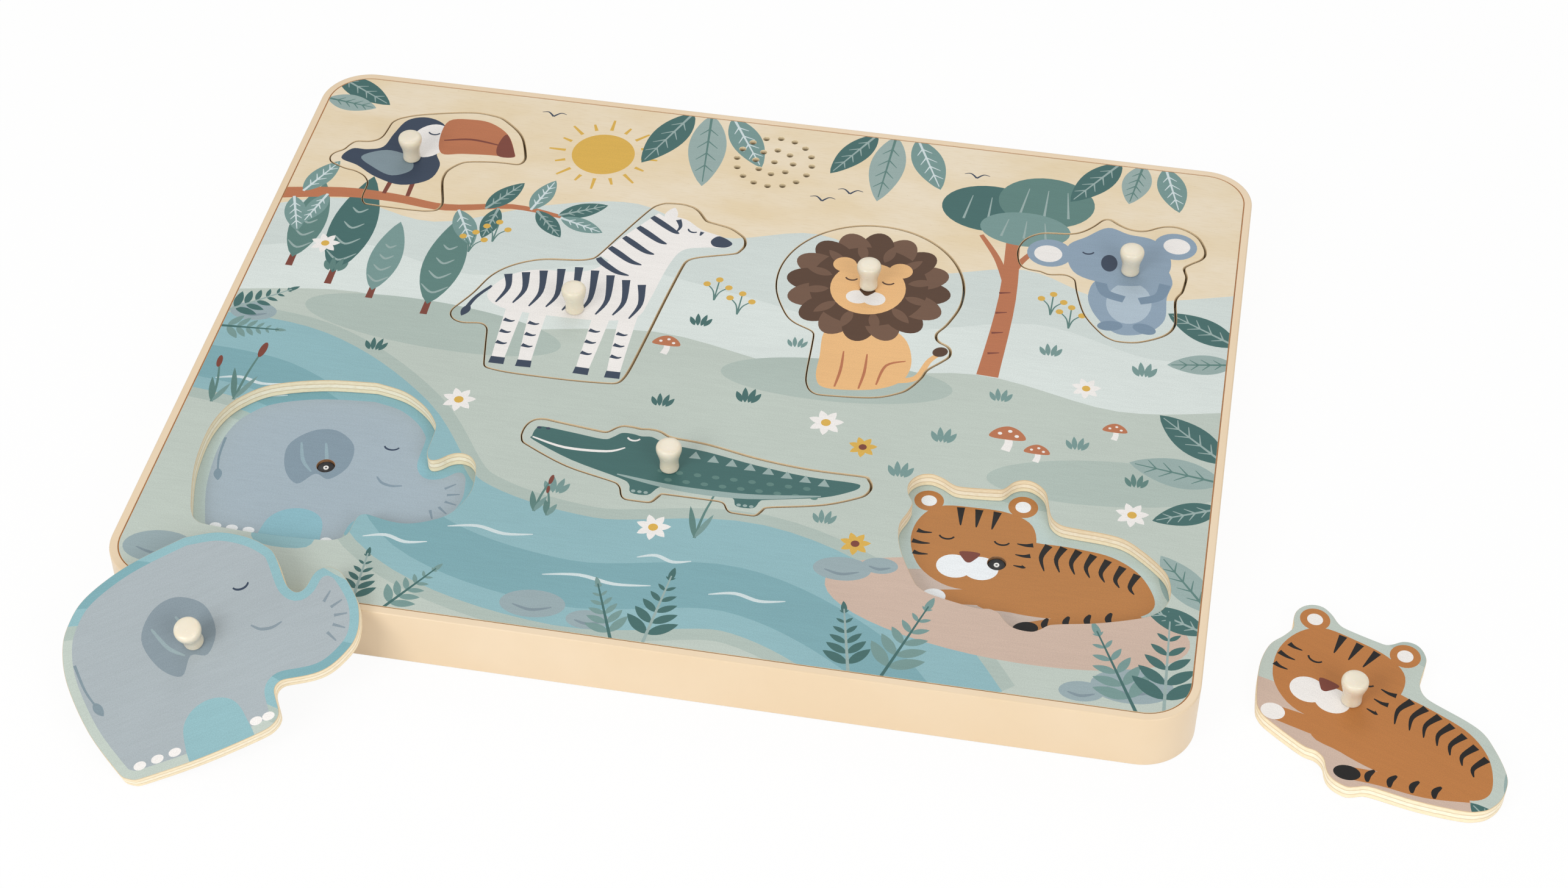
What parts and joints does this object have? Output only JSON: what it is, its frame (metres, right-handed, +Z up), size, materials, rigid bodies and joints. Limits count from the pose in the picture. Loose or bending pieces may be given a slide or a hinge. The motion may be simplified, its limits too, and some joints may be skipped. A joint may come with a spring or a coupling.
{
  "type": "animal sound puzzle",
  "caption": "Knobbed plywood animal puzzle in a shallow plastic tray, with a light sensor under each pocket and a speaker behind a drilled grille.",
  "frame": {"origin": "centre of the tray's flat underside, on the table", "axes": "+X along the tray's long side to the viewer's right, +Y to the grille side, +Z up"},
  "size_m": [0.3822, 0.2864, 0.0277],
  "materials": {
    "peach_plastic": "satin moulded ABS",
    "printed_plywood": "matt print on birch plywood, bare sawn edges",
    "printed_hardboard": "matt print on thin hardboard",
    "ivory_plastic": "glossy",
    "black_plastic": "satin",
    "steel": "zinc plated",
    "paper_cone": "pressed paper",
    "circuit_green": "solder mask",
    "battery_jacket": "shrunk sleeve",
    "lead_sleeve": "PVC sleeve"
  },
  "bodies": {
    "tray": {"tray_shell": "peach_plastic", "puzzle_board": "printed_plywood", "backing_sheet": "printed_hardboard", "speaker_frame": "steel", "speaker_cone": "paper_cone", "speaker_magnet": "steel", "circuit_board": "circuit_green", "sound_chip": "black_plastic", "switch_body": "black_plastic", "speaker_lead": "lead_sleeve", "battery_lead": "lead_sleeve", "switch_lead": "lead_sleeve", "battery_left": "battery_jacket", "battery_spring_left": "steel", "battery_contact_left": "steel", "battery_right": "battery_jacket", "battery_spring_right": "steel", "battery_contact_right": "steel", "case_screw_1": "steel", "case_screw_2": "steel", "case_screw_3": "steel", "case_screw_4": "steel", "case_screw_5": "steel", "case_screw_6": "steel", "toucan_sensor": "black_plastic", "toucan_sensor_lead": "lead_sleeve", "zebra_sensor": "black_plastic", "zebra_sensor_lead": "lead_sleeve", "lion_sensor": "black_plastic", "lion_sensor_lead": "lead_sleeve", "koala_sensor": "black_plastic", "koala_sensor_lead": "lead_sleeve", "crocodile_sensor": "black_plastic", "crocodile_sensor_lead": "lead_sleeve", "elephant_sensor": "black_plastic", "elephant_sensor_lead": "lead_sleeve", "tiger_sensor": "black_plastic", "tiger_sensor_lead": "lead_sleeve"},
    "toucan": {"toucan": "printed_plywood", "toucan_knob": "ivory_plastic"},
    "zebra": {"zebra": "printed_plywood", "zebra_knob": "ivory_plastic"},
    "lion": {"lion": "printed_plywood", "lion_knob": "ivory_plastic"},
    "koala": {"koala": "printed_plywood", "koala_knob": "ivory_plastic"},
    "crocodile": {"crocodile": "printed_plywood", "crocodile_knob": "ivory_plastic"},
    "elephant": {"elephant": "printed_plywood", "elephant_knob": "ivory_plastic"},
    "tiger": {"tiger": "printed_plywood", "tiger_knob": "ivory_plastic"},
    "battery_door": {"battery_door": "peach_plastic", "battery_door_screw": "steel"},
    "switch_slider": {"switch_slider": "black_plastic"}
  },
  "joints": [
    {"name": "toucan_lift", "type": "slide", "parent": "tray", "child": "toucan", "axis": [0, 0, 1], "range_m": [0, 0.04]},
    {"name": "zebra_lift", "type": "slide", "parent": "tray", "child": "zebra", "axis": [0, 0, 1], "range_m": [0, 0.04]},
    {"name": "lion_lift", "type": "slide", "parent": "tray", "child": "lion", "axis": [0, 0, 1], "range_m": [0, 0.04]},
    {"name": "koala_lift", "type": "slide", "parent": "tray", "child": "koala", "axis": [0, 0, 1], "range_m": [0, 0.04]},
    {"name": "crocodile_lift", "type": "slide", "parent": "tray", "child": "crocodile", "axis": [0, 0, 1], "range_m": [0, 0.04]},
    {"name": "elephant_lift", "type": "slide", "parent": "tray", "child": "elephant", "axis": [0, 0, 1], "range_m": [0, 0.04]},
    {"name": "tiger_lift", "type": "slide", "parent": "tray", "child": "tiger", "axis": [0, 0, 1], "range_m": [0, 0.04]},
    {"name": "battery_door_hinge", "type": "hinge", "parent": "tray", "child": "battery_door", "pos_m": [-0.0246, -0.084, 0.0003], "axis": [0, 1, 0], "range_deg": [0, 70]},
    {"name": "power_switch", "type": "slide", "parent": "tray", "child": "switch_slider", "axis": [1, 0, 0], "range_m": [0, 0.004]}
  ]
}
